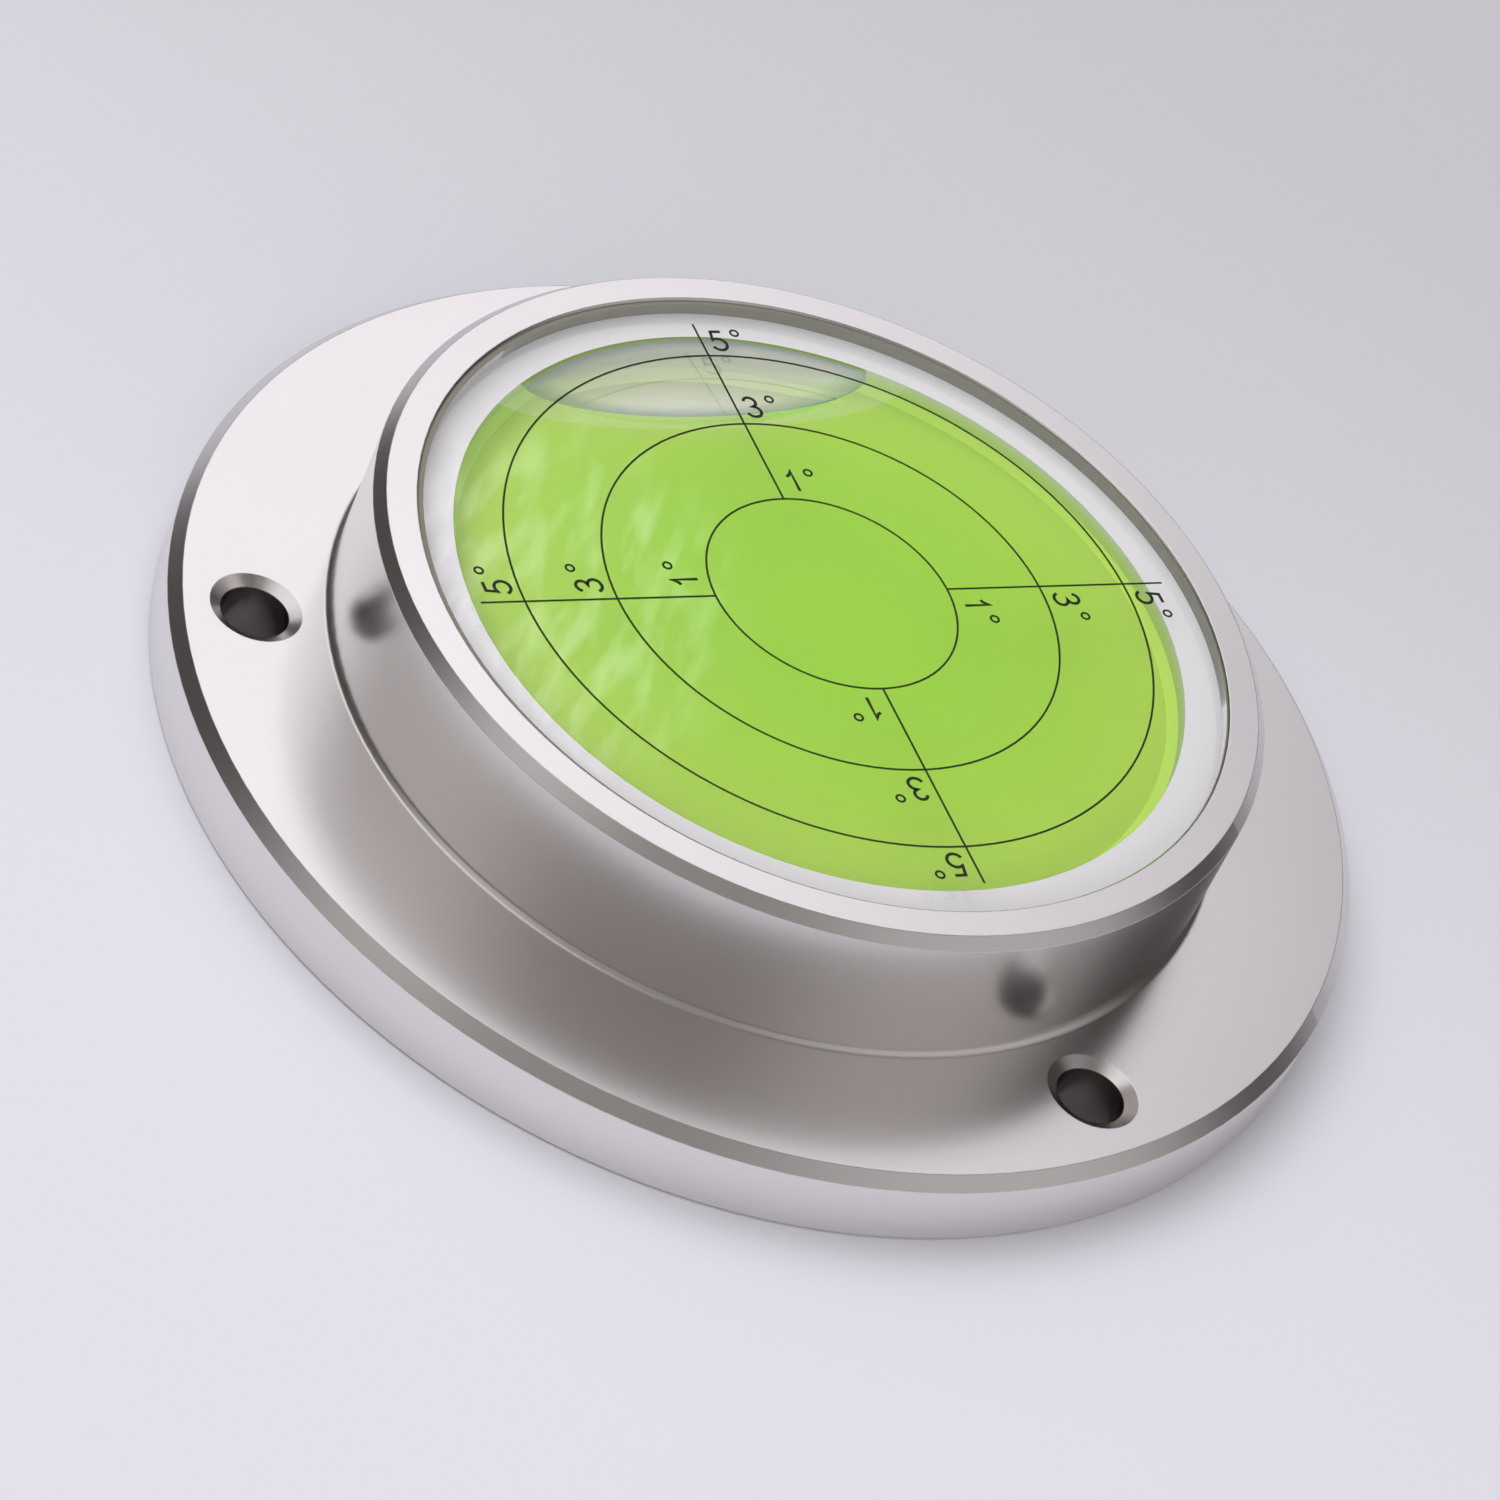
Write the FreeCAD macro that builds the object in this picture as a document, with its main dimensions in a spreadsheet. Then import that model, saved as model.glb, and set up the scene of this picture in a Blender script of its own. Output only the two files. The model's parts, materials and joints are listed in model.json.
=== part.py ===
import FreeCAD, Part
import Sketcher
import os

# Bullseye level: a turned metal housing with a screw-down flange, a clear lens that closes
# a round chamber of green liquid, and a bubble that is read against rings of 1, 3 and 5 degrees.
# Millimetres. The base stands on z = 0 and the housing's axis is Z.
# One screw hole lies towards +Y, and the filling port lies towards -Y.

DIMENSIONS = {
    # Liquid chamber, and the widths that lead from it out to the flange's edge
    "chamber_diameter": 48.9,
    "chamber_depth": 2.6,
    "chamber_corner_chamfer": 0.6,
    "shelf_width": 2.55,
    "rim_wall": 2.75,
    "hole_body_gap": 4.75,
    "hole_edge_gap": 5.5,
    # Housing, heights and edges
    "flange_thickness": 5.2,
    "flange_chamfer": 0.8,
    "base_edge_chamfer": 0.2,
    "body_rise": 10.0,
    "foot_chamfer": 0.3,
    "rim_chamfer": 0.7,
    "bore_chamfer": 0.12,
    # Screw holes in the flange
    "hole_count": 3,
    "hole_diameter": 4.4,
    "countersink_width": 0.8,
    "countersink_angle": 120.0,
    # Lens, with a spherical hollow ground into its underside
    "lens_centre_thickness": 0.478,
    "lens_recess": 0.05,
    "lens_clearance": 0.2,
    "lens_play_share": 0.85,
    "lens_bevel": 0.15,
    "hollow_margin": 0.45,
    "hollow_radius": 190.0,
    "seal_recess": 0.15,
    # Printed rings and arms, set in from the chamber's wall
    "five_ring_inset": 2.75,
    "outer_ring_step": 6.4,
    "inner_ring_step": 6.9,
    "arm_overrun": 0.25,
    "arm_count": 4,
    "line_width": 0.13,
    "ink_thickness": 0.03,
    "dial_turn": 46.3,
    # Bubble, in its place against the chamber wall
    "bubble_length": 25.4,
    "bubble_width": 9.1,
    "bubble_inset": 3.5,
    "bubble_direction": 138.6,
    "bubble_film": 0.3,
    "bubble_floor_film": 0.4,
    # Filling port, closed by a ball under a slotted screw
    "channel_diameter": 1.5,
    "channel_wall_gap": 0.2,
    "port_diameter": 4.0,
    "drill_point_angle": 118.0,
    "ball_diameter": 3.2,
    "screw_clearance": 0.05,
    "screw_length": 4.0,
    "screw_recess": 0.5,
    "screw_end_chamfer": 0.4,
    "slot_width": 0.6,
    "slot_depth": 0.9,
}

# Places and radii that follow from the dimensions
HEIGHT = "(Sizes.flange_thickness + Sizes.body_rise)"
CHAMBER_RADIUS = "(Sizes.chamber_diameter / 2)"
BORE_RADIUS = f"({CHAMBER_RADIUS} + Sizes.shelf_width)"
BODY_RADIUS = f"({BORE_RADIUS} + Sizes.rim_wall)"
HOLE_CIRCLE_RADIUS = f"({BODY_RADIUS} + Sizes.hole_body_gap)"
FLANGE_RADIUS = f"({HOLE_CIRCLE_RADIUS} + Sizes.hole_edge_gap)"
COUNTERSINK_DIAMETER = "(Sizes.hole_diameter + 2 * Sizes.countersink_width)"
HOLLOW_EDGE = f"({CHAMBER_RADIUS} - Sizes.hollow_margin)"
HOLLOW_DROP = f"sqrt(Sizes.hollow_radius ^ 2 - {HOLLOW_EDGE} ^ 2)"
LENS_THICKNESS = f"(Sizes.lens_centre_thickness + Sizes.hollow_radius - {HOLLOW_DROP})"
LENS_TOP = f"({HEIGHT} - Sizes.lens_recess)"
SHELF = f"({LENS_TOP} - {LENS_THICKNESS})"
FLOOR = f"({SHELF} - Sizes.chamber_depth)"
CHAMFER_TOP = f"({FLOOR} + Sizes.chamber_corner_chamfer)"
LENS_RADIUS = f"({BORE_RADIUS} - Sizes.lens_clearance)"
LENS_SHIFT = "(Sizes.lens_clearance * Sizes.lens_play_share)"
FIVE_RING_RADIUS = f"({CHAMBER_RADIUS} - Sizes.five_ring_inset)"
THREE_RING_RADIUS = f"({FIVE_RING_RADIUS} - Sizes.outer_ring_step)"
ONE_RING_RADIUS = f"({THREE_RING_RADIUS} - Sizes.inner_ring_step)"
ARM_END = f"({CHAMBER_RADIUS} + Sizes.arm_overrun)"
BUBBLE_OFFSET = f"({CHAMBER_RADIUS} - Sizes.bubble_inset)"
CHANNEL_RADIUS = "Sizes.channel_diameter / 2"
PORT_OFFSET = f"({CHAMBER_RADIUS} - {CHANNEL_RADIUS} - Sizes.channel_wall_gap)"
BALL_RADIUS = "Sizes.ball_diameter / 2"
BALL_CENTRE = f"(Sizes.screw_recess + Sizes.screw_length + {BALL_RADIUS})"
DRILL_TIP = f"({BALL_CENTRE} + {BALL_RADIUS} / sin(Sizes.drill_point_angle / 2))"
PORT_DEPTH = f"({DRILL_TIP} - Sizes.port_diameter / 2 / tan(Sizes.drill_point_angle / 2))"
CHANNEL_MOUTH = f"({DRILL_TIP} - {CHANNEL_RADIUS} / tan(Sizes.drill_point_angle / 2))"

doc = FreeCAD.newDocument("BullseyeLevel")
sheet = doc.addObject("Spreadsheet::Sheet", "Sizes")
for row, (alias, value) in enumerate(DIMENSIONS.items(), start=1):
    sheet.set(f"A{row}", alias)
    sheet.set(f"B{row}", str(value))
    sheet.setAlias(f"B{row}", alias)
doc.recompute()

ORIGIN = -1
AXIS_ACROSS = -1
AXIS_UP = -2
START = 1
END = 2
CENTRE = 3


def value_of(expression):
    """The number that an expression of the sheet's dimensions gives."""
    return float(sheet.evalExpression(expression))


def bind(thing, **expressions):
    """Tie properties of an object to the dimensions."""
    for name, expression in expressions.items():
        thing.setExpression(name.replace("__", "."), expression)


def origin_feature(body, role):
    return next(item for item in body.Origin.OriginFeatures if item.Role == role)


def new_sketch(body, name, plane, level=None):
    """A sketch on one of the body's own planes, raised to a level if one is given."""
    sketch = body.newObject("Sketcher::SketchObject", name)
    sketch.AttachmentSupport = [(origin_feature(body, plane), "")]
    sketch.MapMode = "FlatFace"
    if level:
        bind(sketch, AttachmentOffset__Base__z=level)
    return sketch


def place_point(sketch, geometry, point, across, up):
    """Fix a point of a sketch at a distance across and up; None puts it on that axis."""
    if across is None:
        sketch.addConstraint(Sketcher.Constraint("PointOnObject", geometry, point, AXIS_UP))
    else:
        index = sketch.addConstraint(
            Sketcher.Constraint("DistanceX", ORIGIN, START, geometry, point, value_of(across)))
        sketch.setExpression(f"Constraints[{index}]", across)
    if up is None:
        sketch.addConstraint(Sketcher.Constraint("PointOnObject", geometry, point, AXIS_ACROSS))
    else:
        index = sketch.addConstraint(
            Sketcher.Constraint("DistanceY", ORIGIN, START, geometry, point, value_of(up)))
        sketch.setExpression(f"Constraints[{index}]", up)


def draw_outline(sketch, corners):
    """A closed outline of straight lines through corners, each an (across, up) pair."""
    points = []
    for across, up in corners:
        points.append(FreeCAD.Vector(
            value_of(across) if across else 0.0, value_of(up) if up else 0.0, 0.0))
    count = len(points)
    for i in range(count):
        sketch.addGeometry(Part.LineSegment(points[i], points[(i + 1) % count]), False)
    for i in range(count):
        following = (i + 1) % count
        sketch.addConstraint(Sketcher.Constraint("Coincident", i, END, following, START))
    for i, (across, up) in enumerate(corners):
        place_point(sketch, i, START, across, up)


def draw_circle(sketch, radius, across=None, up=None):
    centre = FreeCAD.Vector(
        value_of(across) if across else 0.0, value_of(up) if up else 0.0, 0.0)
    index = sketch.addGeometry(
        Part.Circle(centre, FreeCAD.Vector(0, 0, 1), value_of(radius)), False)
    place_point(sketch, index, CENTRE, across, up)
    size = sketch.addConstraint(Sketcher.Constraint("Radius", index, value_of(radius)))
    sketch.setExpression(f"Constraints[{size}]", radius)


def turn_body(name, corners):
    """A body turned about Z from the half section with these (radius, height) corners."""
    body = doc.addObject("PartDesign::Body", name)
    sketch = new_sketch(body, name + "_section", "XZ_Plane")
    draw_outline(sketch, corners)
    turning = body.newObject("PartDesign::Revolution", name + "_turning")
    turning.Profile = sketch
    turning.ReferenceAxis = (sketch, ["V_Axis"])
    turning.Angle = 360
    doc.recompute()
    return body


def drill(body, name, sketch, diameter, depth=None, point_angle=None, upwards=False):
    """A round hole from a sketched circle, right through unless a depth is given."""
    hole = body.newObject("PartDesign::Hole", name)
    hole.Profile = sketch
    hole.ThreadType = "None"
    hole.Reversed = upwards
    bind(hole, Diameter=diameter)
    if depth:
        hole.DepthType = "Dimension"
        hole.DrillPoint = "Angled"
        hole.DrillForDepth = False
        bind(hole, Depth=depth, DrillPointAngle=point_angle)
    else:
        hole.DepthType = "ThroughAll"
    return hole


def pattern_about_axis(body, name, feature, count):
    pattern = body.newObject("PartDesign::PolarPattern", name)
    pattern.Originals = [feature]
    pattern.Axis = (origin_feature(body, "Z_Axis"), [""])
    pattern.Angle = 360
    bind(pattern, Occurrences=count)
    body.Tip = pattern
    doc.recompute()


def make_housing():
    """Housing: base, flange, body, bore, shelf and chamber are one turned piece."""
    body = turn_body("housing", [
        (None, None),
        (f"{FLANGE_RADIUS} - Sizes.base_edge_chamfer", None),
        (FLANGE_RADIUS, "Sizes.base_edge_chamfer"),
        (FLANGE_RADIUS, "Sizes.flange_thickness - Sizes.flange_chamfer"),
        (f"{FLANGE_RADIUS} - Sizes.flange_chamfer", "Sizes.flange_thickness"),
        (f"{BODY_RADIUS} + Sizes.foot_chamfer", "Sizes.flange_thickness"),
        (BODY_RADIUS, "Sizes.flange_thickness + Sizes.foot_chamfer"),
        (BODY_RADIUS, f"{HEIGHT} - Sizes.rim_chamfer"),
        (f"{BODY_RADIUS} - Sizes.rim_chamfer", HEIGHT),
        (f"{BORE_RADIUS} + Sizes.bore_chamfer", HEIGHT),
        (BORE_RADIUS, f"{HEIGHT} - Sizes.bore_chamfer"),
        (BORE_RADIUS, SHELF),
        (CHAMBER_RADIUS, SHELF),
        (CHAMBER_RADIUS, CHAMFER_TOP),
        (f"{CHAMBER_RADIUS} - Sizes.chamber_corner_chamfer", FLOOR),
        (None, FLOOR),
    ])

    screw_circle = new_sketch(body, "screw_hole_place", "XY_Plane", "Sizes.flange_thickness")
    draw_circle(screw_circle, "Sizes.hole_diameter / 2", up=HOLE_CIRCLE_RADIUS)
    doc.recompute()
    screw_hole = drill(body, "screw_hole", screw_circle, "Sizes.hole_diameter")
    screw_hole.HoleCutType = "Countersink"
    screw_hole.HoleCutCustomValues = True
    bind(screw_hole, HoleCutDiameter=COUNTERSINK_DIAMETER,
         HoleCutCountersinkAngle="Sizes.countersink_angle")
    doc.recompute()
    pattern_about_axis(body, "screw_holes", screw_hole, "Sizes.hole_count")

    channel_place = new_sketch(body, "channel_place", "XY_Plane", CHAMFER_TOP)
    channel_place.AttachmentOffset = FreeCAD.Placement(
        channel_place.AttachmentOffset.Base, FreeCAD.Rotation(FreeCAD.Vector(0, 0, 1), 180))
    draw_circle(channel_place, CHANNEL_RADIUS, up=PORT_OFFSET)
    doc.recompute()
    drill(body, "filling_channel", channel_place, "Sizes.channel_diameter")
    doc.recompute()

    port_place = new_sketch(body, "port_place", "XY_Plane")
    port_place.AttachmentOffset = FreeCAD.Placement(
        FreeCAD.Vector(), FreeCAD.Rotation(FreeCAD.Vector(0, 0, 1), 180))
    draw_circle(port_place, "Sizes.port_diameter / 2", up=PORT_OFFSET)
    doc.recompute()
    drill(body, "filling_port", port_place, "Sizes.port_diameter",
          depth=PORT_DEPTH, point_angle="Sizes.drill_point_angle", upwards=True)
    doc.recompute()
    return body


def make_lens():
    """Lens: a flat disc with a bevelled top edge and a spherical hollow in its underside.

    It lies against one side of its clearance in the bore. The sphere's poles lie level, far
    from the hollow. The disc and the sphere also bound the liquid under the hollow.
    """
    disc = turn_body("lens_disc", [
        (None, SHELF),
        (LENS_RADIUS, SHELF),
        (LENS_RADIUS, f"{LENS_TOP} - Sizes.lens_bevel"),
        (f"{LENS_RADIUS} - Sizes.lens_bevel", LENS_TOP),
        (None, LENS_TOP),
    ])
    bind(disc, Placement__Base__x=LENS_SHIFT)
    sphere = doc.addObject("Part::Sphere", "hollow_sphere")
    sphere.Placement = FreeCAD.Placement(
        FreeCAD.Vector(), FreeCAD.Rotation(FreeCAD.Vector(0, 1, 0), 90))
    bind(sphere, Radius="Sizes.hollow_radius", Placement__Base__x=LENS_SHIFT,
         Placement__Base__z=f"{SHELF} - {HOLLOW_DROP}")
    lens = doc.addObject("Part::Cut", "lens")
    lens.Base = disc
    lens.Tool = sphere
    doc.recompute()
    return lens, disc, sphere


def make_lens_seal():
    """Seal: cured sealant in the gap between lens and bore, wider on one side."""
    body = doc.addObject("PartDesign::Body", "lens_seal")
    sketch = new_sketch(body, "seal_outline", "XY_Plane", SHELF)
    draw_circle(sketch, BORE_RADIUS)
    draw_circle(sketch, LENS_RADIUS, across=LENS_SHIFT)
    doc.recompute()
    pad = body.newObject("PartDesign::Pad", "seal_ring")
    pad.Profile = sketch
    bind(pad, Length=f"{LENS_THICKNESS} - Sizes.seal_recess")
    doc.recompute()
    return body


def make_graticule():
    """Graticule: the ink of three rings and of the arms that cross them."""
    body = doc.addObject("PartDesign::Body", "graticule")
    arm_sketch = new_sketch(body, "arm_outline", "XY_Plane")
    draw_outline(arm_sketch, [
        (ONE_RING_RADIUS, "-Sizes.line_width / 2"),
        (ARM_END, "-Sizes.line_width / 2"),
        (ARM_END, "Sizes.line_width / 2"),
        (ONE_RING_RADIUS, "Sizes.line_width / 2"),
    ])
    doc.recompute()
    arm = body.newObject("PartDesign::Pad", "arm")
    arm.Profile = arm_sketch
    bind(arm, Length="Sizes.ink_thickness")
    doc.recompute()

    ring_sketch = new_sketch(body, "ring_outlines", "XY_Plane")
    for radius in (ONE_RING_RADIUS, THREE_RING_RADIUS, FIVE_RING_RADIUS):
        draw_circle(ring_sketch, f"{radius} + Sizes.line_width / 2")
        draw_circle(ring_sketch, f"{radius} - Sizes.line_width / 2")
    doc.recompute()
    rings = body.newObject("PartDesign::Pad", "rings")
    rings.Profile = ring_sketch
    bind(rings, Length="Sizes.ink_thickness")
    doc.recompute()
    pattern_about_axis(body, "arms", arm, "Sizes.arm_count")
    body.Placement = FreeCAD.Placement(
        FreeCAD.Vector(), FreeCAD.Rotation(FreeCAD.Vector(0, 0, 1), value_of("Sizes.dial_turn")))
    bind(body, Placement__Base__x=LENS_SHIFT, Placement__Base__z=LENS_TOP,
         Placement__Rotation__Angle="Sizes.dial_turn")
    doc.recompute()
    return body


def make_ball():
    """Sealing ball: pressed into the drill point at the end of the filling port."""
    ball = doc.addObject("Part::Sphere", "sealing_ball")
    bind(ball, Radius=BALL_RADIUS, Placement__Base__y=f"-{PORT_OFFSET}",
         Placement__Base__z=BALL_CENTRE)
    doc.recompute()
    return ball


def make_screw():
    """Filler screw: a headless slotted screw that holds the ball on its seat."""
    radius = "(Sizes.port_diameter / 2 - Sizes.screw_clearance)"
    body = turn_body("filler_screw", [
        (None, None),
        (f"{radius} - Sizes.screw_end_chamfer / 2", None),
        (radius, "Sizes.screw_end_chamfer / 2"),
        (radius, "Sizes.screw_length - Sizes.screw_end_chamfer"),
        (f"{radius} - Sizes.screw_end_chamfer", "Sizes.screw_length"),
        (None, "Sizes.screw_length"),
    ])
    slot = body.newObject("PartDesign::SubtractiveBox", "driver_slot")
    bind(slot, Length="Sizes.port_diameter", Width="Sizes.slot_width", Height="Sizes.slot_depth",
         AttachmentOffset__Base__x="-Sizes.port_diameter / 2",
         AttachmentOffset__Base__y="-Sizes.slot_width / 2")
    slot.AttachmentSupport = [(origin_feature(body, "XY_Plane"), "")]
    slot.MapMode = "FlatFace"
    doc.recompute()
    bind(body, Placement__Base__y=f"-{PORT_OFFSET}", Placement__Base__z="Sizes.screw_recess")
    doc.recompute()
    return body


def make_bubble():
    """Bubble: a flattened ellipsoid, cut off where a film of liquid wets the chamber wall."""
    blob = doc.addObject("Part::Ellipsoid", "bubble_blob")
    blob.Placement = FreeCAD.Placement(
        FreeCAD.Vector(),
        FreeCAD.Rotation(FreeCAD.Vector(0, 0, 1), value_of("Sizes.bubble_direction")))
    bind(blob, Radius1="Sizes.chamber_depth - Sizes.bubble_floor_film",
         Radius2="Sizes.bubble_width / 2", Radius3="Sizes.bubble_length / 2",
         Placement__Base__x=f"{BUBBLE_OFFSET} * cos(Sizes.bubble_direction)",
         Placement__Base__y=f"{BUBBLE_OFFSET} * sin(Sizes.bubble_direction)",
         Placement__Base__z=SHELF,
         Placement__Rotation__Angle="Sizes.bubble_direction")
    blob.Angle1 = -90
    limit = doc.addObject("Part::Cylinder", "bubble_limit")
    bind(limit, Radius=f"{CHAMBER_RADIUS} - Sizes.bubble_film",
         Height=f"Sizes.chamber_depth + {LENS_THICKNESS}", Placement__Base__z=FLOOR)
    bubble = doc.addObject("Part::Common", "bubble")
    bubble.Base = blob
    bubble.Tool = limit
    doc.recompute()
    return bubble


def make_liquid(disc, sphere, ball, bubble):
    """Liquid: all of the chamber, the hollow and the channel that the bubble leaves."""
    chamber = turn_body("chamber_filling", [
        (None, FLOOR),
        (f"{CHAMBER_RADIUS} - Sizes.chamber_corner_chamfer", FLOOR),
        (CHAMBER_RADIUS, CHAMFER_TOP),
        (CHAMBER_RADIUS, SHELF),
        (None, SHELF),
    ])
    cap = doc.addObject("Part::Common", "hollow_filling")
    cap.Base = disc
    cap.Tool = sphere
    channel = doc.addObject("Part::Cylinder", "channel_filling")
    bind(channel, Radius=CHANNEL_RADIUS,
         Height=f"{CHAMFER_TOP} - {CHANNEL_MOUTH}",
         Placement__Base__y=f"-{PORT_OFFSET}", Placement__Base__z=CHANNEL_MOUTH)
    filling = doc.addObject("Part::MultiFuse", "all_filling")
    filling.Shapes = [chamber, cap, channel]
    doc.recompute()
    over_ball = doc.addObject("Part::Cut", "filling_over_ball")
    over_ball.Base = filling
    over_ball.Tool = ball
    liquid = doc.addObject("Part::Cut", "liquid")
    liquid.Base = over_ball
    liquid.Tool = bubble
    doc.recompute()
    return liquid


def check_document():
    for item in doc.Objects:
        faults = {"Invalid", "Error"} & set(item.State)
        if faults:
            raise RuntimeError(f"{item.Name} failed: {item.State}")


def write_parts(parts):
    os.makedirs("parts", exist_ok=True)
    for part in parts:
        shape = part.Shape
        if shape.isNull() or not shape.isValid() or len(shape.Solids) != 1:
            raise RuntimeError(f"{part.Label} is not one valid solid")
    for part in parts:
        part.Shape.exportStep(f"parts/{part.Label}.step")
        print(part.Label, "volume", round(part.Shape.Volume, 2), "mm3")


housing = make_housing()
lens, lens_disc, hollow_sphere = make_lens()
lens_seal = make_lens_seal()
graticule = make_graticule()
sealing_ball = make_ball()
filler_screw = make_screw()
liquid = make_liquid(lens_disc, hollow_sphere, sealing_ball, make_bubble())
check_document()
write_parts([housing, lens, lens_seal, graticule, liquid, sealing_ball, filler_screw])
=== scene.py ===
import bpy
import json
import math
from mathutils import Matrix, Vector


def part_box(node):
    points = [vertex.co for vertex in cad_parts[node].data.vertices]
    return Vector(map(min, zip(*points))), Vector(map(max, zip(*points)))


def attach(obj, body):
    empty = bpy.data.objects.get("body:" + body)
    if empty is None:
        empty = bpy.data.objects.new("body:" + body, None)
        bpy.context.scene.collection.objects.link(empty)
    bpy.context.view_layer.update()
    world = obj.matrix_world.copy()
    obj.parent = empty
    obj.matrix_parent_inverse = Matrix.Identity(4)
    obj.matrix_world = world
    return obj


# Bullseye level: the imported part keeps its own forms. This script gives every piece its finish,
# prints the numerals of the dial, and sets the floor, the light and the camera.
# Lengths are millimetres in the part's own frame unless a comment says otherwise, and MM turns
# them into metres. Azimuths run from +X towards +Y. Colours are linear.

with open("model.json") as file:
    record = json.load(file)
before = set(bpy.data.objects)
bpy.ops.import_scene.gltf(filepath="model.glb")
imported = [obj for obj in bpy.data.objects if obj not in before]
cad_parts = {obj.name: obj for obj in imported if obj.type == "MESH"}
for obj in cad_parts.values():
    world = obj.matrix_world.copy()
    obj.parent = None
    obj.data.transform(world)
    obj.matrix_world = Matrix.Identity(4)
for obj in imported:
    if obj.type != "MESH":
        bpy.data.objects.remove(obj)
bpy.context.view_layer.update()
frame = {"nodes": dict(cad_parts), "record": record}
nodes = frame["nodes"]
MM = 0.001

# Levels and places that the frame gives
RIM_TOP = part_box("housing")[1].z / MM
LENS_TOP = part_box("lens")[1].z / MM
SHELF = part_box("lens")[0].z / MM
INK_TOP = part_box("graticule")[1].z / MM
DIAL_X = (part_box("lens")[0].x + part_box("lens")[1].x) / 2 / MM
LENS_RADIUS = (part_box("lens")[1].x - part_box("lens")[0].x) / 2 / MM
BORE_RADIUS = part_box("lens_seal")[1].x / MM
screw_holes = next(mount for mount in frame["record"]["mounts"] if mount["name"] == "screw_holes")
SCREW_CIRCLE = screw_holes["dims"]["pcd_mm"] / 2
HOLE_RADIUS = screw_holes["dims"]["hole_r_mm"]
FLANGE_TOP = screw_holes["pos_m"][2] / MM

# Sizes of the part that no box gives
BODY_RADIUS = 29.75
CHAMBER_RADIUS = 24.45
CHAMBER_DEPTH = 2.6
CHAMBER_CHAMFER = 0.6

# The lens, a little past its forms: how far its hollow rises above the shelf, how far under the
# lens's top the bevel starts and ends and the upright edge starts, and how wide the bevel is
HOLLOW_RISE = 1.75
BEVEL_START = 0.012
BEVEL_END = 0.158
EDGE_START = 0.16
BEVEL_WIDTH = 0.17

# The bubble, as an ellipsoid that is cut off by a film of liquid at the chamber's wall
BUBBLE_DIRECTION = math.radians(138.6)
BUBBLE_OFFSET = 20.95
BUBBLE_HALF_LENGTH = 12.7
BUBBLE_HALF_WIDTH = 4.55
BUBBLE_DEPTH = 2.2
BUBBLE_FILM = 0.3

# How far a mask reaches past the faces that it picks out
MARGIN = 0.05
# How far the lens's skin is drawn in, so that no two faces lie in one plane
SKIN_GAP = 0.01

# The place that the camera sees the level from, from the middle of the rim's top
RIM_TO_CAMERA = (31.174, -280.934, 223.917)


# Node helpers

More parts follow.
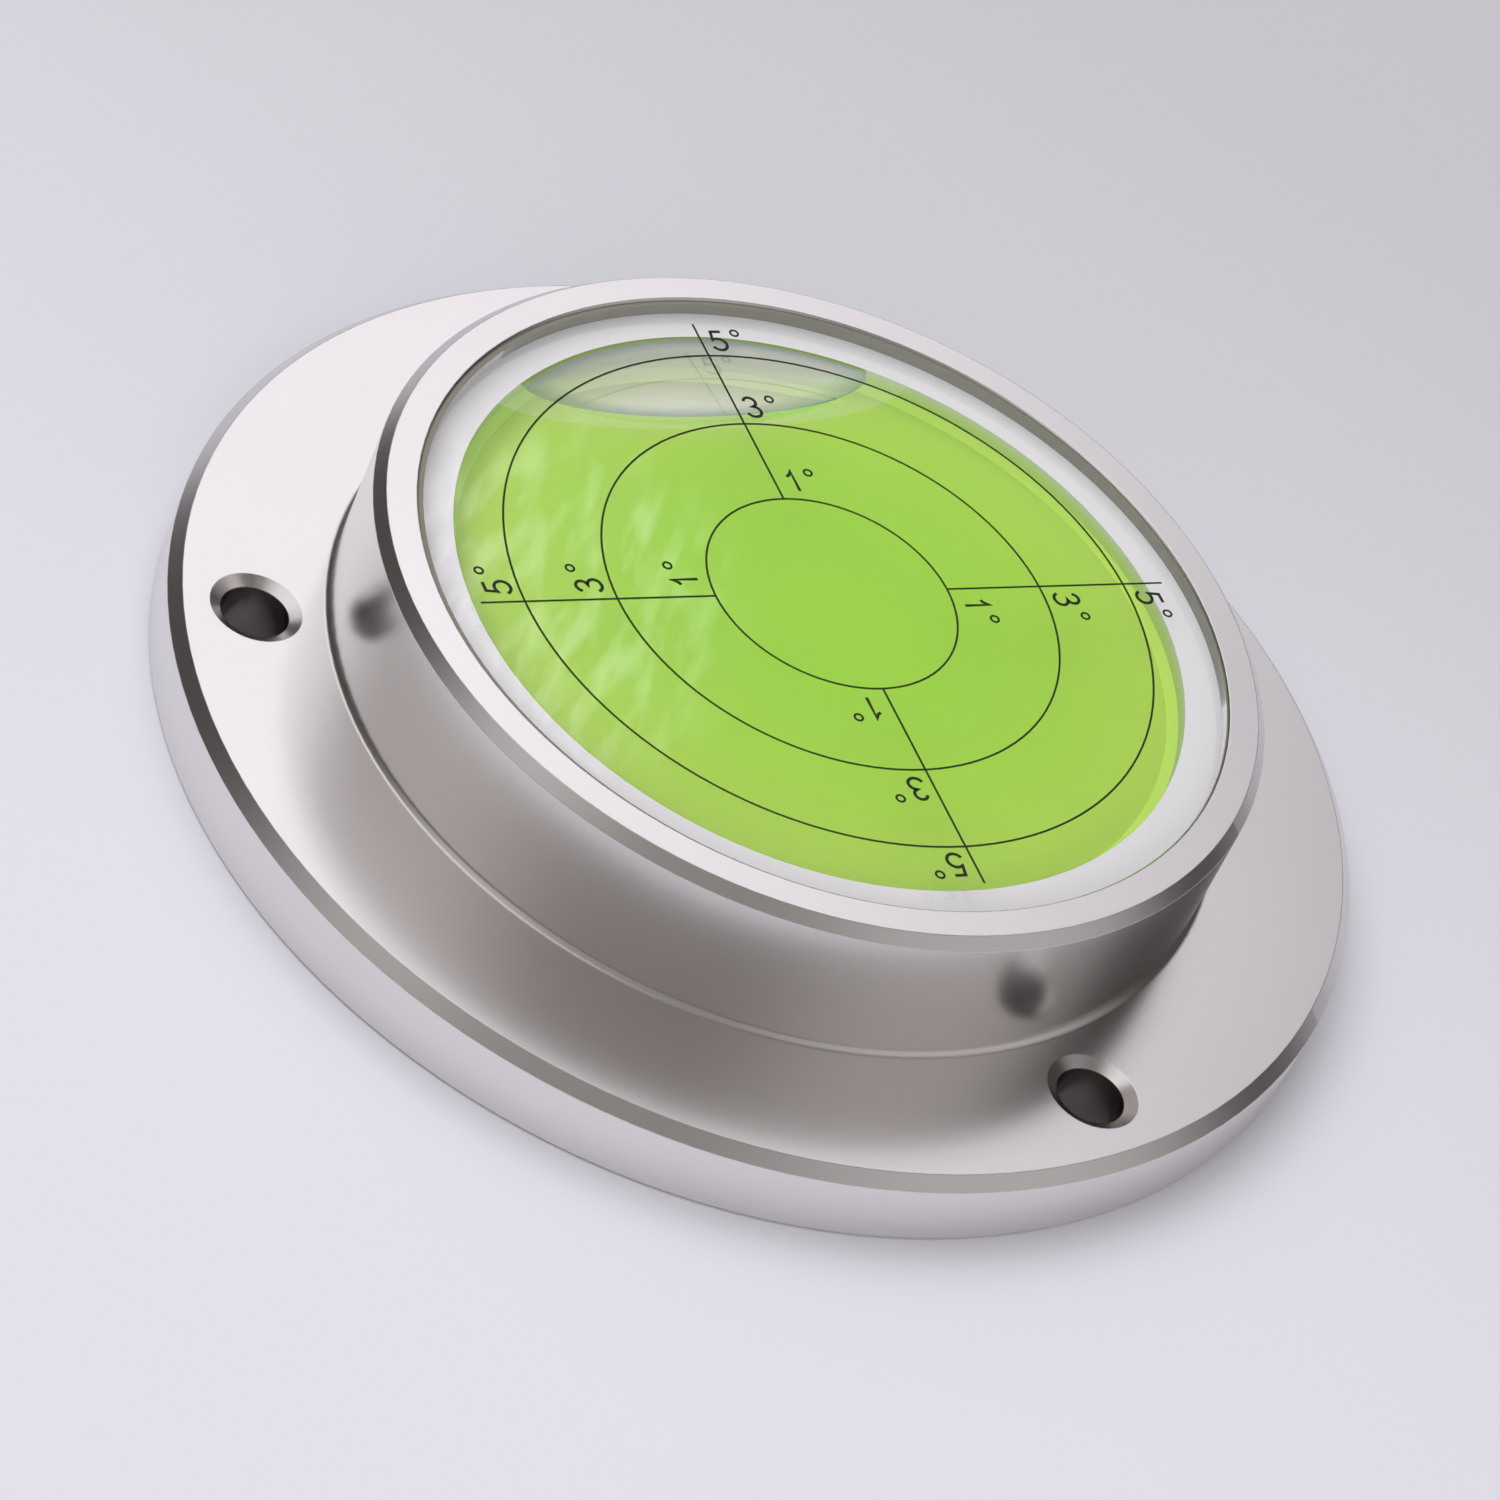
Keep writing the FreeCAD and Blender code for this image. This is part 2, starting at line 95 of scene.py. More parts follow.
class Shader:
    """Short calls for adding nodes to one node tree."""

    def __init__(self, tree, coordinates="Object"):
        self.tree = tree
        self.place = self.node("ShaderNodeTexCoord").outputs[coordinates]

    def node(self, kind, **settings):
        made = self.tree.nodes.new(kind)
        for name, value in settings.items():
            setattr(made, name, value)
        return made

    def feed(self, socket, value):
        """Link a socket of another node to socket, or set a plain value on it."""
        if isinstance(value, bpy.types.NodeSocket):
            self.tree.links.new(value, socket)
        else:
            socket.default_value = value

    def math(self, operation, a, b=0.0):
        made = self.node("ShaderNodeMath", operation=operation)
        self.feed(made.inputs[0], a)
        self.feed(made.inputs[1], b)
        return made.outputs[0]

    def axes(self):
        """x, y and z of the point in metres or, in the world, of the direction."""
        split = self.node("ShaderNodeSeparateXYZ")
        self.feed(split.inputs[0], self.place)
        return split.outputs

    def length(self, x, y):
        return self.math("SQRT", self.math("ADD", self.math("MULTIPLY", x, x),
                                           self.math("MULTIPLY", y, y)))

    def turned(self, x, y, angle):
        """The point (x, y) along and across a line at that angle."""
        c, d = math.cos(angle), math.sin(angle)
        along = self.math("ADD", self.math("MULTIPLY", x, c), self.math("MULTIPLY", y, d))
        across = self.math("SUBTRACT", self.math("MULTIPLY", y, c), self.math("MULTIPLY", x, d))
        return along, across

    def both(self, a, b):
        return self.math("MULTIPLY", a, b)

    def within(self, value, low, high):
        """1 where value lies between low and high, both in millimetres."""
        return self.both(self.math("GREATER_THAN", value, low * MM),
                         self.math("LESS_THAN", value, high * MM))

    def noise(self, scale, detail=2.0, place=None):
        made = self.node("ShaderNodeTexNoise")
        self.feed(made.inputs["Vector"], place or self.place)
        made.inputs["Scale"].default_value = scale
        made.inputs["Detail"].default_value = detail
        return made.outputs["Fac"]

    def spread(self, value, low, high, start=0.3, end=0.7):
        """value from start to end, spread over low to high."""
        made = self.node("ShaderNodeMapRange")
        for name, given in (("Value", value), ("From Min", start), ("From Max", end),
                            ("To Min", low), ("To Max", high)):
            self.feed(made.inputs[name], given)
        return made.outputs["Result"]

    def soft(self, value, start, end):
        """0 at start and 1 at end, with a soft step between them."""
        made = self.spread(value, 0.0, 1.0, start, end)
        made.node.interpolation_type = "SMOOTHSTEP"
        return made

    def blend(self, share, first, second):
        made = self.node("ShaderNodeMix", data_type="RGBA")
        self.feed(made.inputs["Factor"], share)
        self.feed(made.inputs[6], first)
        self.feed(made.inputs[7], second)
        return made.outputs[2]

    def patchy(self, scale, tones, detail=3.0):
        """Two close tones in soft patches; scale is how many there are to a metre."""
        return self.blend(self.spread(self.noise(scale, detail), 0.0, 1.0), *tones)

    def bump(self, height, distance, normal=None):
        made = self.node("ShaderNodeBump")
        self.feed(made.inputs["Height"], height)
        made.inputs["Distance"].default_value = distance
        if normal:
            self.feed(made.inputs["Normal"], normal)
        return made.outputs["Normal"]

    def diffuse(self, colour):
        made = self.node("ShaderNodeBsdfDiffuse")
        self.feed(made.inputs["Color"], colour)
        return made.outputs[0]

    def clear(self):
        return self.node("ShaderNodeBsdfTransparent").outputs[0]

    def either(self, share, first, second):
        made = self.node("ShaderNodeMixShader")
        self.feed(made.inputs[0], share)
        self.feed(made.inputs[1], first)
        self.feed(made.inputs[2], second)
        return made.outputs[0]

    def finish(self, surface, volume=None):
        out = self.node("ShaderNodeOutputMaterial")
        self.feed(out.inputs["Surface"], surface)
        if volume:
            self.feed(out.inputs["Volume"], volume)


def new_material(name):
    material = bpy.data.materials.new(name)
    material.use_nodes = True
    material.node_tree.nodes.clear()
    return material, Shader(material.node_tree)


# Small opaque pieces

PATCHES = 0.06


def solid_material(name, tones, roughness, metallic=0.0, grain=3.0, bump_depth=0.0, shine=0.5):
    """An opaque finish: two close tones in soft patches, and a fine grain in the roughness.

    grain and PATCHES are how many spots there are to a millimetre.
    """
    material, s = new_material(name)
    principled = s.node("ShaderNodeBsdfPrincipled")
    principled.inputs["Metallic"].default_value = metallic
    principled.inputs["Specular IOR Level"].default_value = shine
    s.feed(principled.inputs["Base Color"], s.patchy(PATCHES / MM, tones))
    fine = s.noise(grain / MM)
    s.feed(principled.inputs["Roughness"], s.spread(fine, *roughness))
    if bump_depth:
        s.feed(principled.inputs["Normal"], s.bump(fine, bump_depth * MM))
    s.finish(principled.outputs[0])
    return material


SEALANT = solid_material("olive_sealant", ((0.21, 0.20, 0.165, 1.0), (0.25, 0.24, 0.20, 1.0)),
                         (0.45, 0.6), grain=1.2, bump_depth=0.004)
INK = solid_material("black_ink", ((0.008, 0.012, 0.008, 1.0), (0.016, 0.02, 0.016, 1.0)),
                     (0.4, 0.55), grain=2.8, shine=0.3)
WHITE_PLASTIC = solid_material("ball_plastic", ((0.80, 0.80, 0.77, 1.0), (0.84, 0.84, 0.81, 1.0)),
                               (0.35, 0.45), grain=1.2)
SCREW_STEEL = solid_material("screw_steel", ((0.55, 0.54, 0.53, 1.0), (0.62, 0.61, 0.60, 1.0)),
                             (0.25, 0.4), metallic=1.0, grain=2.0, bump_depth=0.002)


# Housing: its plate, and the matt faces under the lens

PLATE_TONES = ((0.79, 0.765, 0.755, 1.0), (0.82, 0.795, 0.785, 1.0))
PLATE_ROUGHNESS = (0.22, 0.26)
# Dark tone painted inside the screw holes: painted shade
HOLE_SHADE_TONE = (0.30, 0.27, 0.25, 1.0)
# The screw holes carry painted shade up to this far under the flange's top, just into their
# countersinks
HOLE_SHADE_DEPTH = 0.44
CHAMBER_TONES = ((0.70, 0.70, 0.70, 1.0), (0.73, 0.73, 0.73, 1.0))
# The chamber's wall is painted paler than its floor: painted light that lifts the wall out of its
# shade
WALL_PAINTED_LIGHT_TONE = (0.93, 0.93, 0.95, 1.0)
SHELF_TONES = ((0.79, 0.775, 0.80, 1.0), (0.82, 0.805, 0.83, 1.0))
# Patches and grain are how many spots there are to a millimetre
HOUSING_PATCHES = 0.05
HOUSING_GRAIN = 11.0
GRAIN_DEPTH = 0.0003
# The rounding that the edges show, and the wider one at the body's foot, which is seen as far
# as FOOT_REACH from the corner there
EDGE_ROUNDING = 0.1
FOOT_ROUNDING = 0.25
FOOT_REACH = 0.8
BEVEL_SAMPLES = 4


def plate_shader(s, radius, z):
    """Satin plate with softened edges, and painted shade inside the screw holes."""
    shade_in_holes = s.both(
        s.within(radius, SCREW_CIRCLE - HOLE_RADIUS - MARGIN, SCREW_CIRCLE + HOLE_RADIUS + MARGIN),
        s.within(z, MARGIN, FLANGE_TOP - HOLE_SHADE_DEPTH))
    at_foot = s.both(
        s.within(radius, BODY_RADIUS - MARGIN, BODY_RADIUS + FOOT_REACH + MARGIN),
        s.within(z, FLANGE_TOP - MARGIN, FLANGE_TOP + FOOT_REACH))
    fine = s.noise(HOUSING_GRAIN / MM)
    edge = s.node("ShaderNodeBevel", samples=BEVEL_SAMPLES)
    s.feed(edge.inputs["Radius"],
           s.spread(at_foot, EDGE_ROUNDING * MM, FOOT_ROUNDING * MM, 0.0, 1.0))
    plate = s.node("ShaderNodeBsdfPrincipled")
    plate.inputs["Metallic"].default_value = 1.0
    # In the screw holes the plate's colour gives way to painted shade
    s.feed(plate.inputs["Base Color"],
           s.blend(shade_in_holes, s.patchy(HOUSING_PATCHES / MM, PLATE_TONES), HOLE_SHADE_TONE))
    s.feed(plate.inputs["Roughness"], s.spread(fine, *PLATE_ROUGHNESS))
    s.feed(plate.inputs["Normal"], s.bump(fine, GRAIN_DEPTH * MM, edge.outputs[0]))
    return plate.outputs[0]


def matt_shader(s, radius, z):
    """The chamber with its wall painted paler, as painted light against its shade, and the shelf
    that carries the lens.
    """
    on_wall_painted_light = s.within(radius, CHAMBER_RADIUS - CHAMBER_CHAMFER - MARGIN, CHAMBER_RADIUS + MARGIN)
    on_shelf = s.within(z, SHELF - MARGIN, SHELF + MARGIN)
    # Painted light: the wall gets the paler tone
    chamber = s.blend(on_wall_painted_light, s.patchy(HOUSING_PATCHES / MM, CHAMBER_TONES), WALL_PAINTED_LIGHT_TONE)
    return s.diffuse(s.blend(on_shelf, chamber, s.patchy(HOUSING_PATCHES / MM, SHELF_TONES)))


def make_satin_nickel():
    material, s = new_material("satin_nickel")
    x, y, z = s.axes()
    radius = s.length(x, y)
    under_lens = s.both(s.within(radius, 0.0, BORE_RADIUS + MARGIN),
                        s.within(z, SHELF - CHAMBER_DEPTH - MARGIN, SHELF + MARGIN))
    s.finish(s.either(under_lens, plate_shader(s, radius, z), matt_shader(s, radius, z)))
    return material


# Lens and liquid

CLEAR = (0.985, 0.99, 0.985, 1.0)
BUBBLE_TINT = (0.96, 0.96, 1.0, 1.0)
# A darker bluish outline painted into the glass's colour round the bubble: painted shade
BUBBLE_OUTLINE_SHADE = (0.62, 0.66, 0.82, 1.0)
FILM_TONE = (0.50, 0.74, 0.12, 1.0)
# A pale band of painted light beside the bubble, mixed into the wetted glass by this share
PAINTED_HALO_TONE = (0.75, 0.85, 0.72, 1.0)
PAINTED_HALO_SHARE = 0.14
GLASS_IOR = 1.46
LIQUID_IOR = 1.36
SEALANT_IOR = 1.43
DYE_COLOUR = (0.79, 0.998, 0.0, 1.0)
DYE_DENSITY = 340.0
# Wiping marks on the glass: their roughness, how many there are to a millimetre, and the noise
# between none and full ones
SMEAR_ROUGHNESS = 0.012
SMEARS = 0.12
SMEAR_START, SMEAR_FULL = 0.45, 0.75
# How far out the bubble's outline of painted shade starts, is full and ends, and where its own
# faces and the pale band of painted light beside it end: squares of the share of the ellipsoid's
# half axes, 1 on its skin
OUTLINE_START = 0.66
OUTLINE_FULL = 0.98
BUBBLE_SKIN = 1.02
OUTLINE_END = 1.05
PAINTED_HALO_END = 1.65
# Where the same outline of painted shade starts and is full beside the chamber's wall, from the
# wall
WALL_OUTLINE_START = 1.2
WALL_OUTLINE_FULL = 0.4


def around_bubble(s):
    """How far out of the bubble's ellipsoid a point lies, squared, with its radius and height."""
    x, y, z = s.axes()
    outward, across = s.turned(x, y, BUBBLE_DIRECTION)
    ellipsoid = 0.0
    for value, half_axis in ((s.math("SUBTRACT", outward, BUBBLE_OFFSET * MM), BUBBLE_HALF_WIDTH),
                             (across, BUBBLE_HALF_LENGTH),
                             (s.math("SUBTRACT", z, SHELF * MM), BUBBLE_DEPTH)):
        share = s.math("DIVIDE", value, half_axis * MM)
        ellipsoid = s.math("ADD", ellipsoid, s.math("MULTIPLY", share, share))
    return ellipsoid, s.length(x, y), z


def let_light_through(s, surface):
    """Light that comes up from under the glass passes straight through it."""
    path = s.node("ShaderNodeLightPath")
    clear = s.clear()
    seen = s.either(path.outputs["Is Reflection Ray"], surface, clear)
    return s.either(path.outputs["Is Shadow Ray"], seen, clear)


def glass_shader(s, ior, roughness=0.0, colour=CLEAR, normal=None):
    made = s.node("ShaderNodeBsdfGlass")
    s.feed(made.inputs["Color"], colour)
    s.feed(made.inputs["Roughness"], roughness)
    made.inputs["IOR"].default_value = ior
    if normal:
        s.feed(made.inputs["Normal"], normal)
    return made.outputs[0]


def bubble_colour(s, ellipsoid, radius):
    """The glass over the bubble: a bluish outline of painted shade all round, and a green film at
    the wall.
    """
    wall_outline_shade = s.spread(radius, 0.0, 1.0, (CHAMBER_RADIUS - WALL_OUTLINE_START) * MM,
                       (CHAMBER_RADIUS - WALL_OUTLINE_FULL) * MM)
    outline_shade = s.math("MAXIMUM", wall_outline_shade,
                     s.spread(ellipsoid, 0.0, 1.0, OUTLINE_START, OUTLINE_FULL))
    in_film = s.within(radius, CHAMBER_RADIUS - BUBBLE_FILM, CHAMBER_RADIUS)
    return s.blend(in_film, s.blend(outline_shade, BUBBLE_TINT, BUBBLE_OUTLINE_SHADE), FILM_TONE)


def make_lens_glass():
    """Clear glass that bends light much less where liquid or sealant wets it.

    The bevel bends light as the flat top does, so that it shows no bright line.
    """
    material, s = new_material("lens_glass")
    ellipsoid, radius, z = around_bubble(s)
    x, y, _ = s.axes()
    from_lens_axis = s.length(s.math("SUBTRACT", x, DIAL_X * MM), y)
    in_hollow = s.both(s.within(z, 0.0, SHELF + HOLLOW_RISE),
                       s.within(radius, 0.0, CHAMBER_RADIUS))
    wetted = s.both(in_hollow, s.math("GREATER_THAN", ellipsoid, OUTLINE_END))
    in_painted_halo = s.both(wetted, s.math("LESS_THAN", ellipsoid, PAINTED_HALO_END))
    at_edge = s.both(s.within(z, 0.0, LENS_TOP - EDGE_START),
                     s.within(from_lens_axis, LENS_RADIUS - MARGIN, LENS_RADIUS + MARGIN))
    on_bevel = s.both(s.within(z, LENS_TOP - BEVEL_END, LENS_TOP - BEVEL_START),
                      s.within(from_lens_axis, LENS_RADIUS - BEVEL_WIDTH, LENS_RADIUS + MARGIN))
    upward = s.node("ShaderNodeCombineXYZ")
    upward.inputs[2].default_value = 1.0

    smear = s.spread(s.noise(SMEARS / MM, 3.0), 0.0, SMEAR_ROUGHNESS, SMEAR_START, SMEAR_FULL)
    dry = glass_shader(s, GLASS_IOR, smear,
                       s.blend(in_hollow, CLEAR, bubble_colour(s, ellipsoid, radius)))
    # Beside the bubble a pale diffuse tone is mixed in: painted light
    wet = s.either(s.both(in_painted_halo, PAINTED_HALO_SHARE), glass_shader(s, GLASS_IOR / LIQUID_IOR),
                   s.diffuse(PAINTED_HALO_TONE))
    sealed = glass_shader(s, GLASS_IOR / SEALANT_IOR)
    bevel = glass_shader(s, GLASS_IOR, normal=upward.outputs[0])
    faces = s.either(at_edge, s.either(wetted, dry, wet), sealed)
    s.finish(let_light_through(s, s.either(on_bevel, faces, bevel)))
    return material


def make_green_liquid():
    """Dyed liquid, whose skin doesn't show where it borders on the bubble."""
    material, s = new_material("green_liquid")
    ellipsoid, radius, _ = around_bubble(s)
    on_bubble = s.both(s.math("LESS_THAN", ellipsoid, BUBBLE_SKIN),
                       s.math("LESS_THAN", radius, (CHAMBER_RADIUS - BUBBLE_FILM / 2) * MM))
    surface = s.either(on_bubble, s.clear(), glass_shader(s, LIQUID_IOR))
    dye = s.node("ShaderNodeVolumeAbsorption")
    dye.inputs["Color"].default_value = DYE_COLOUR
    dye.inputs["Density"].default_value = DYE_DENSITY
    s.finish(let_light_through(s, surface), dye.outputs[0])
    return material


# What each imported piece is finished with

def give(name, material):
    for slot in nodes[name].material_slots:
        slot.material = material


def draw_in(name, gap):
    """Draw a piece's skin in by a hair."""
    skin = nodes[name].modifiers.new("skin", "DISPLACE")
    skin.strength = -gap * MM
    skin.mid_level = 0.0


give("housing", make_satin_nickel())
give("lens", make_lens_glass())
give("lens_seal", SEALANT)
give("graticule", INK)
give("liquid", make_green_liquid())
give("sealing_ball", WHITE_PLASTIC)
give("filler_screw", SCREW_STEEL)
draw_in("lens", SKIN_GAP)
draw_in("liquid", 2 * SKIN_GAP)


# Numerals: strokes of one width, on a digit of height 1

DIGIT_HEIGHT = 1.82
DIGIT_STROKE = 0.21
DEGREE_STROKE = 0.14
DEGREE_RADIUS = 0.28
DEGREE_UP = 1.62
DEGREE_ACROSS = 2.75
# Each label's digit, its foot's distance from the dial's centre, and its left edge beside the arm
LABELS = (("1", 9.1, 1.06), ("3", 15.93, 0.66), ("5", 22.21, 0.72))
DIAL_TURN = math.radians(46.3)
ARM_COUNT = 4
ARC_STEPS = 14
# A sharp corner reaches out by no more than half the stroke's width over this
MITRE_LIMIT = 0.5


def arc(centre, radius, start, end, squash=1.0):
    """Points on an arc, with angles in degrees; squash flattens it."""
    points = []
    for i in range(ARC_STEPS + 1):
        angle = math.radians(start + (end - start) * i / ARC_STEPS)
        points.append((centre[0] + radius * math.cos(angle),
                       centre[1] + radius * squash * math.sin(angle)))
    return points


def digit_line(digit):
    """The one line that draws a digit, across and up from its lower left corner."""
    if digit == "1":
        return [(0.0, 0.72), (0.13, 0.80), (0.24, 1.0), (0.24, 0.0)]
    if digit == "3":
        upper = arc((0.29, 0.755), 0.235, 165, -90)
        lower = arc((0.29, 0.27), 0.285, 90, -165, 0.92)
        return upper + lower[1:]
    bowl = arc((0.28, 0.31), 0.30, 128, -158)
    return [(0.56, 0.97), (0.16, 0.97)] + bowl


def ribbon(points, width, closed=False):
    """The left and the right corners of a flat ribbon of that width along points."""
    points = [Vector(point) for point in points]
    steps = [(after - before).normalized()
             for before, after in zip(points, points[1:] + points[:1])]
    last = len(points) - 1
    left, right = [], []
    for i, point in enumerate(points):
        way_in = steps[i - 1] if closed or i else steps[0]
        way_out = steps[i] if closed or i < last else way_in
        middle = (way_in + way_out).normalized()
        reach = width / 2 / max(middle.dot(way_in), MITRE_LIMIT)
        side = Vector((-middle.y, middle.x)) * reach
        left.append(point + side)
        right.append(point - side)
    return left, right


def add_stroke(vertices, faces, points, width, to_dial, closed=False):
    """Add one stroke, as a thin slab of ink on the lens, to the lists of a mesh."""
    start = len(vertices)
    count = len(points)
    for row in ribbon(points, width, closed):
        for level in (LENS_TOP, INK_TOP):
            for corner in row:
                x, y = to_dial(corner)
                vertices.append((x * MM, y * MM, level * MM))
    left_low, left_high, right_low, right_high = (start + k * count for k in range(4))
    for i in range(count if closed else count - 1):
        j = (i + 1) % count
        faces.append((left_high + i, right_high + i, right_high + j, left_high + j))
        faces.append((left_low + i, left_low + j, right_low + j, right_low + i))
        faces.append((left_low + i, left_high + i, left_high + j, left_low + j))
        faces.append((right_low + i, right_low + j, right_high + j, right_high + i))
    if not closed:
        for i, turned in ((0, False), (count - 1, True)):
            end = (left_low + i, right_low + i, right_high + i, left_high + i)
            faces.append(end[::-1] if turned else end)


def make_numeral(digit, foot, side):
    """One digit with its degree ring beside each arm of the dial."""
    vertices, faces = [], []
    line = [(side + x * DIGIT_HEIGHT, foot + y * DIGIT_HEIGHT) for x, y in digit_line(digit)]
    ring = arc((DEGREE_ACROSS, foot + DEGREE_UP), DEGREE_RADIUS, 0, 360)[:-1]
    for arm in range(ARM_COUNT):
        turn = DIAL_TURN + arm * 2 * math.pi / ARM_COUNT
        out = Vector((math.cos(turn), math.sin(turn)))
        reading = Vector((math.sin(turn), -math.cos(turn)))

        def to_dial(corner):
            place = out * corner.y + reading * corner.x
            return DIAL_X + place.x, place.y

        add_stroke(vertices, faces, line, DIGIT_STROKE, to_dial)
        add_stroke(vertices, faces, ring, DEGREE_STROKE, to_dial, closed=True)
    mesh = bpy.data.meshes.new("numeral_" + digit)
    mesh.from_pydata(vertices, [], faces)
    mesh.validate()
    mesh.materials.append(INK)
    piece = bpy.data.objects.new("numerals_" + digit, mesh)
    bpy.context.scene.collection.objects.link(piece)
    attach(piece, "root")


for label in LABELS:
    make_numeral(*label)


# Floor

# How far below the base it lies, so that the two faces don't lie in one plane
FLOOR_GAP = 0.02
FLOOR_NEAR = ((0.80, 0.80, 0.87, 1.0), (0.83, 0.83, 0.90, 1.0))
# Towards the far side the floor is painted darker: painted shade
FLOOR_FAR_SHADE = (0.64, 0.64, 0.68, 1.0)
# Half the floor's side and where its painted shade starts and stops getting darker along Y, all in
# metres
FLOOR_HALF = 2.5
FLOOR_SHADE_START = -0.05
FLOOR_SHADE_END = 0.12
# How many patches there are to a metre
FLOOR_PATCHES = 3.0
FLOOR_ROUGHNESS = 0.7
FLOOR_SHINE = 0.2


def make_pale_floor():
    material, s = new_material("pale_floor")
    _, y, _ = s.axes()
    near = s.patchy(FLOOR_PATCHES, FLOOR_NEAR, detail=2.0)
    principled = s.node("ShaderNodeBsdfPrincipled")
    # Painted shade: the floor grows darker towards +Y
    s.feed(principled.inputs["Base Color"],
           s.blend(s.soft(y, FLOOR_SHADE_START, FLOOR_SHADE_END), near, FLOOR_FAR_SHADE))
    principled.inputs["Roughness"].default_value = FLOOR_ROUGHNESS
    principled.inputs["Specular IOR Level"].default_value = FLOOR_SHINE
    s.finish(principled.outputs[0])
    return material


def make_floor():
    corners = [(x * FLOOR_HALF, y * FLOOR_HALF, -FLOOR_GAP * MM)
               for x, y in ((-1, -1), (1, -1), (1, 1), (-1, 1))]
    mesh = bpy.data.meshes.new("floor")
    mesh.from_pydata(corners, [], [(0, 1, 2, 3)])
    mesh.materials.append(make_pale_floor())
    floor = bpy.data.objects.new("floor", mesh)
    bpy.context.scene.collection.objects.link(floor)


make_floor()


# Room

# It is dim, with a weak panel on the near side, one at the right, one high at the left and a
# large bright one at the back, and a window. Only the room shows in the metal and the glass.
ROOM_COLOUR = (0.055, 0.049, 0.046, 1.0)
# Each panel: azimuth and elevation of its middle, the angles from there where it starts to fade
# and ends, the elevations between which it sets in (all in degrees), and its colour
PANELS = (((-95.0, 48.0), (5.0, 60.0), (-5.0, 20.0), (0.28, 0.262, 0.256, 1.0)),
          ((-12.0, 26.0), (6.0, 48.0), (-5.0, 10.0), (0.50, 0.48, 0.48, 1.0)),
          ((-176.0, 56.0), (10.0, 46.0), (30.0, 50.0), (0.95, 0.92, 0.93, 1.0)),
          ((124.5, 45.0), (16.0, 37.0), (21.0, 34.0), (1.17, 1.14, 1.20, 1.0)))

# The window stands behind trees, where the left half of the lens mirrors it. Its middle, its half
# widths across and along the streaks, and the streaks' spots to a millimetre in both ways are
# measured where it shows on the lens. The minus mirrors the spots.
WINDOW_MIDDLE = (-14.0, -14.5)
WINDOW_ACROSS, WINDOW_ALONG = 14.5, 21.0
WINDOW_COLOUR = (3.6, 3.6, 3.8, 1.0)
STREAK_ANGLE = math.radians(100.0)
STREAKS_ACROSS, STREAKS_ALONG = -0.55, 0.14
# The share of the half widths up to which the window is at its brightest
WINDOW_CORE = 0.5
# The least share of the window that shows through the trees, and the noise between shut and open
LEAST_SKY = 0.12
TREES_SHUT, TREES_OPEN = 0.46, 0.66
# The lowest height of the window, as the z of a direction
WINDOW_FOOT = 0.2


def direction(azimuth, elevation):
    """The way to a place in the room, with both angles in degrees."""
    a, e = math.radians(azimuth), math.radians(elevation)
    return Vector((math.cos(e) * math.cos(a), math.cos(e) * math.sin(a), math.sin(e)))


def cosine(degrees):
    return math.cos(math.radians(degrees))


def sine(degrees):
    return math.sin(math.radians(degrees))


def window_share(s, x, y, z):
    """How much of the window shows in a direction, with soft streaks from the trees."""
    up = s.math("MAXIMUM", z, WINDOW_FOOT / 2)
    on_lens = [s.math("ADD", s.math("MULTIPLY", s.math("DIVIDE", value, up), RIM_TO_CAMERA[2]),
                      RIM_TO_CAMERA[i] - WINDOW_MIDDLE[i])
               for i, value in enumerate((x, y))]
    along, across = s.turned(*on_lens, STREAK_ANGLE)
    away = s.length(s.math("DIVIDE", across, WINDOW_ACROSS),
                    s.math("DIVIDE", along, WINDOW_ALONG))
    place = s.node("ShaderNodeCombineXYZ")
    s.feed(place.inputs[0], s.math("MULTIPLY", across, STREAKS_ACROSS))
    s.feed(place.inputs[1], s.math("MULTIPLY", along, STREAKS_ALONG))
    streaks = s.spread(s.noise(1.0, 3.0, place.outputs[0]), LEAST_SKY, 1.0,
                       TREES_SHUT, TREES_OPEN)
    open_sky = s.math("GREATER_THAN", z, WINDOW_FOOT)
    return s.both(s.both(s.soft(away, 1.0, WINDOW_CORE), open_sky), streaks)


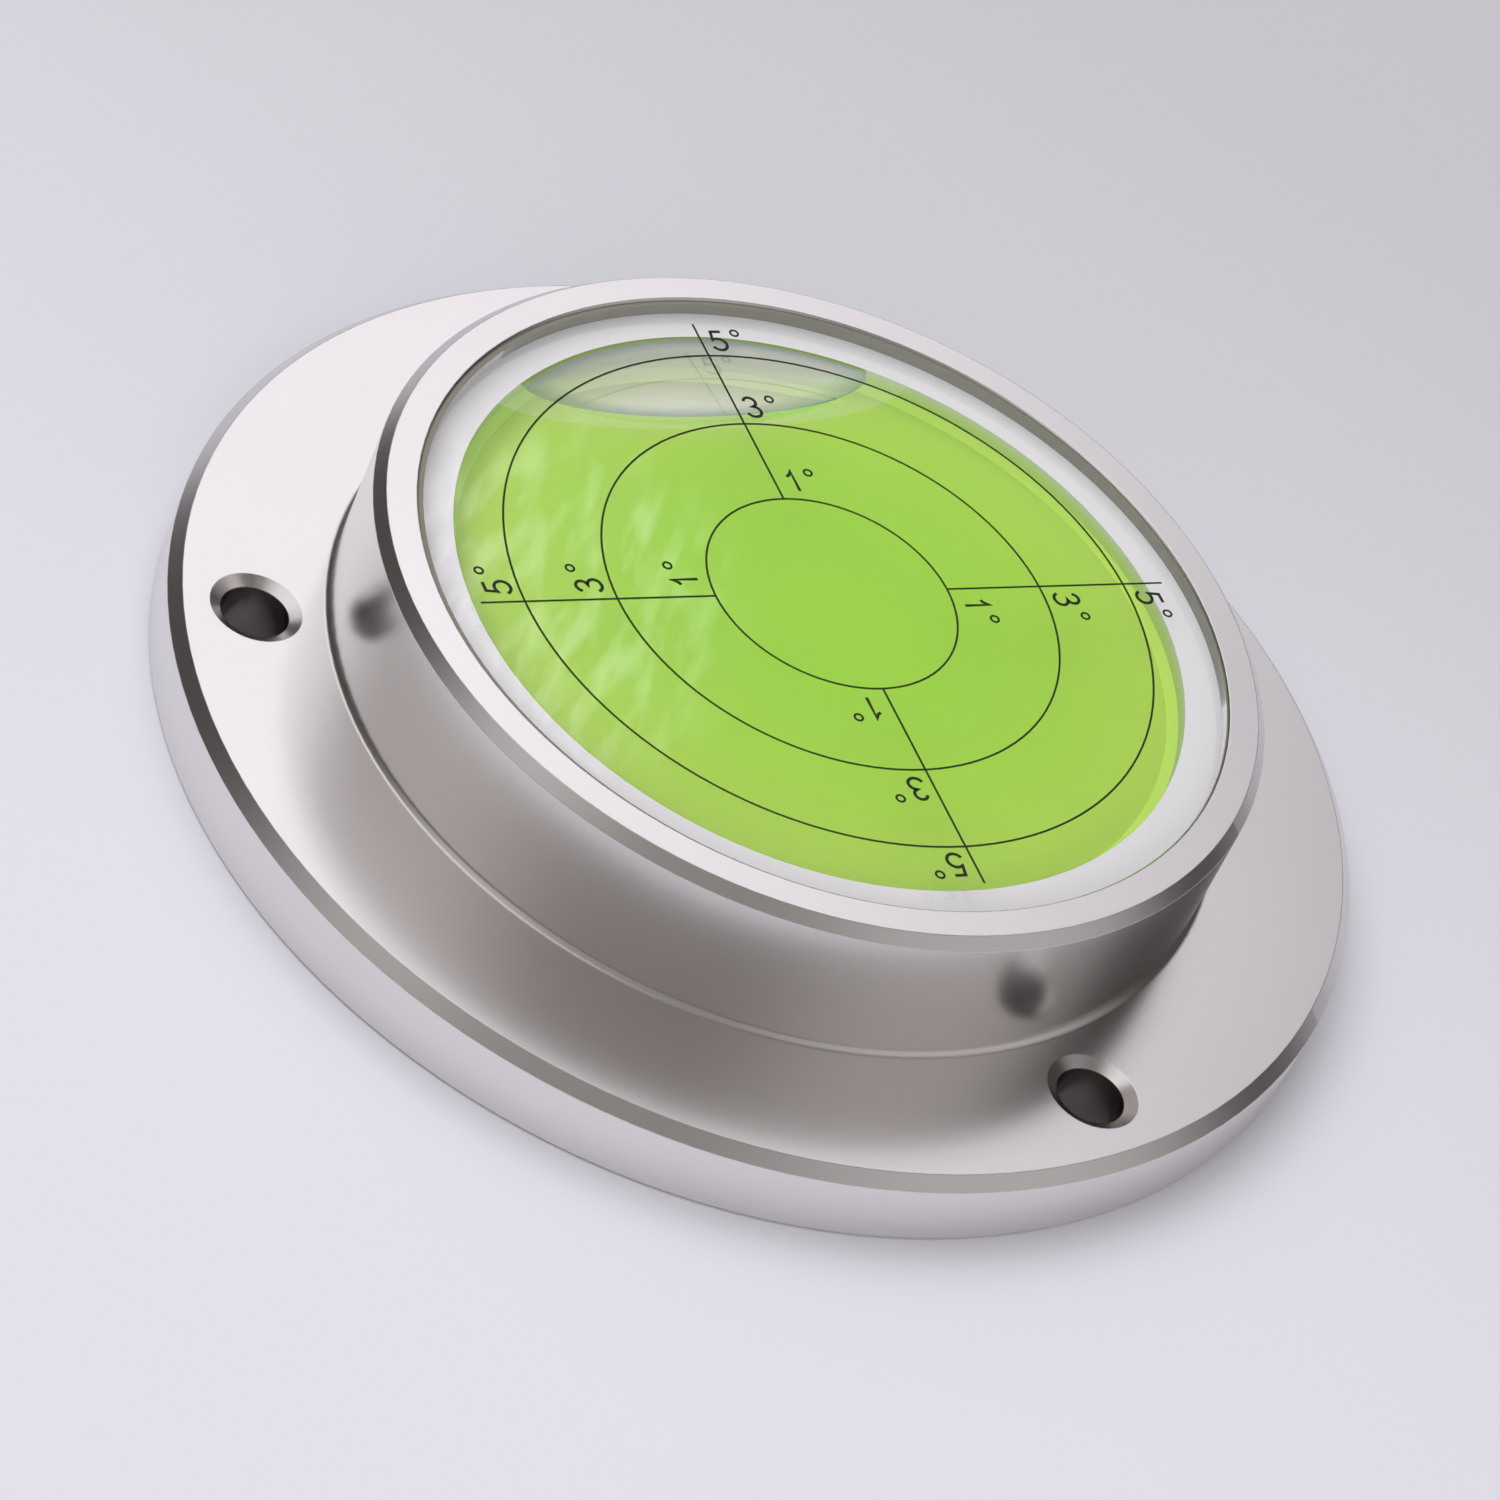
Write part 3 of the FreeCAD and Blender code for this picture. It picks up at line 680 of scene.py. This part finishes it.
def make_room():
    world = bpy.data.worlds.new("room")
    world.use_nodes = True
    world.node_tree.nodes.clear()
    bpy.context.scene.world = world
    s = Shader(world.node_tree, "Generated")
    x, y, z = s.axes()
    colour = ROOM_COLOUR
    for middle, (fade, end), (low, full), panel_colour in PANELS:
        facing = s.node("ShaderNodeVectorMath", operation="DOT_PRODUCT")
        s.feed(facing.inputs[0], s.place)
        facing.inputs[1].default_value = direction(*middle)
        share = s.soft(facing.outputs["Value"], cosine(end), cosine(fade))
        lift = s.soft(z, sine(low), sine(full))
        colour = s.blend(s.both(share, lift), colour, panel_colour)
    background = s.node("ShaderNodeBackground")
    s.feed(background.inputs["Color"],
           s.blend(window_share(s, x, y, z), colour, WINDOW_COLOUR))
    out = s.node("ShaderNodeOutputWorld")
    s.feed(out.inputs["Surface"], background.outputs[0])


make_room()


# Lamps: they light the matt faces and the floor

# Each lamp: its name, azimuth and elevation in degrees, distance and side in metres, and watts
LAMPS = (("overhead", (180.0, 70.0), 1.2, 1.4, 7.4),
         ("fill", (-70.0, 38.0), 1.4, 0.9, 4.5))
LAMP_TARGET = Vector((0.0, 0.0, 0.01))


def make_lamp(name, way, distance, side, power):
    data = bpy.data.lights.new(name, "AREA")
    data.shape = "SQUARE"
    data.size = side
    data.energy = power
    lamp = bpy.data.objects.new(name, data)
    lamp.location = direction(*way) * distance
    lamp.rotation_mode = "QUATERNION"
    lamp.rotation_quaternion = (LAMP_TARGET - lamp.location).to_track_quat("-Z", "Y")
    lamp.visible_glossy = False
    lamp.visible_transmission = False
    bpy.context.scene.collection.objects.link(lamp)


for lamp in LAMPS:
    make_lamp(*lamp)


# Camera: the place and roll from which the photograph shows the level

CAMERA_RIGHT = Vector((0.86341, 0.37911, 0.33287))
CAMERA_UP = Vector((-0.49733, 0.52868, 0.68787))
CAMERA_BACK = Vector((0.0848, -0.75946, 0.645))
SENSOR_WIDTH = 36.0
FOCAL_LENGTH = 137.84
NEAREST_SEEN = 10.0


def make_camera():
    data = bpy.data.cameras.new("camera")
    data.sensor_width = SENSOR_WIDTH
    data.lens = FOCAL_LENGTH
    data.clip_start = NEAREST_SEEN * MM
    camera = bpy.data.objects.new("camera", data)
    x, y, z = RIM_TO_CAMERA
    place = Vector((x, y, z + RIM_TOP))
    turn = Matrix((CAMERA_RIGHT, CAMERA_UP, CAMERA_BACK)).transposed()
    camera.matrix_world = Matrix.Translation(place * MM) @ turn.to_4x4()
    bpy.context.scene.collection.objects.link(camera)
    bpy.context.scene.camera = camera


make_camera()

scene = bpy.context.scene
scene.view_settings.view_transform = "Standard"
scene.cycles.use_denoising = True
